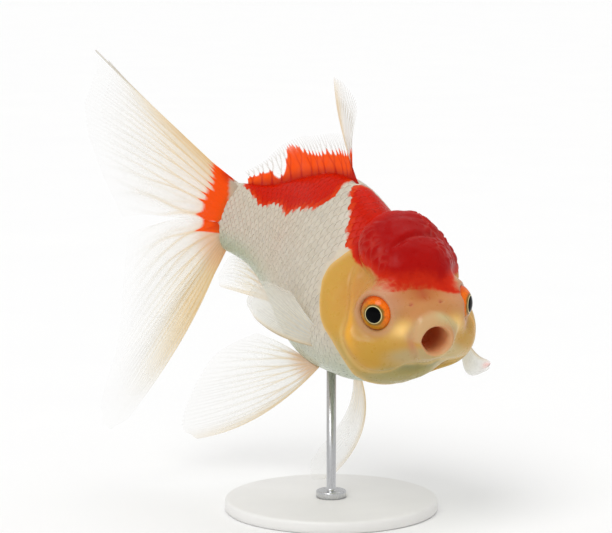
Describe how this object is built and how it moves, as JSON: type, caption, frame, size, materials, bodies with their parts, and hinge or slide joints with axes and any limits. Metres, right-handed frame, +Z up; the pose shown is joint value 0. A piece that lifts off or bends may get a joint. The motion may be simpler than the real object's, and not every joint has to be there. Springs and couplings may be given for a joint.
{
  "type": "fancy goldfish",
  "caption": "Life-size still model of an oranda goldfish: deep rounded body, raised red cap on the head, double trailing tail and tall back fin, held over a round base by one rod.",
  "frame": {"origin": "middle of the round base's underside, on the surface it stands on", "axes": "+X the way the trunk heads, +Y the fish's left side, +Z up"},
  "size_m": [0.1297, 0.0824, 0.1213],
  "materials": {
    "head_skin": "wet, smooth, golden to peach",
    "lips": "wet, smooth, pale pink",
    "wen": "wet, lumpy, deep red",
    "gill_cover": "wet, smooth, metallic golden",
    "eye": "wet gloss, black pupil in a gold ring",
    "scaled_skin": "wet, pearly white scales with orange-red patches",
    "dorsal_fin": "satin, orange to clear, rayed",
    "tail_fin": "satin, orange band, clear margin, rayed",
    "lower_fin": "satin, whitish and clear, rayed",
    "stand_base": "matt, pale grey",
    "stand_rod": "brushed"
  },
  "bodies": {
    "root": {"head": "head_skin", "mouth": "lips", "wen": "wen", "gill_cover_right": "gill_cover", "gill_cover_left": "gill_cover", "eye_right": "eye", "eye_left": "eye", "trunk": "scaled_skin", "tail_root": "scaled_skin", "dorsal_fin": "dorsal_fin", "tail_fin_upper_right": "tail_fin", "tail_fin_upper_left": "tail_fin", "tail_fin_lower_right": "tail_fin", "tail_fin_lower_left": "tail_fin", "anal_fin_right": "lower_fin", "anal_fin_left": "lower_fin", "pectoral_fin_right": "lower_fin", "pectoral_fin_left": "lower_fin", "pelvic_fin_right": "lower_fin", "pelvic_fin_left": "lower_fin", "stand_base": "stand_base", "stand_rod": "stand_rod"}
  },
  "joints": []
}
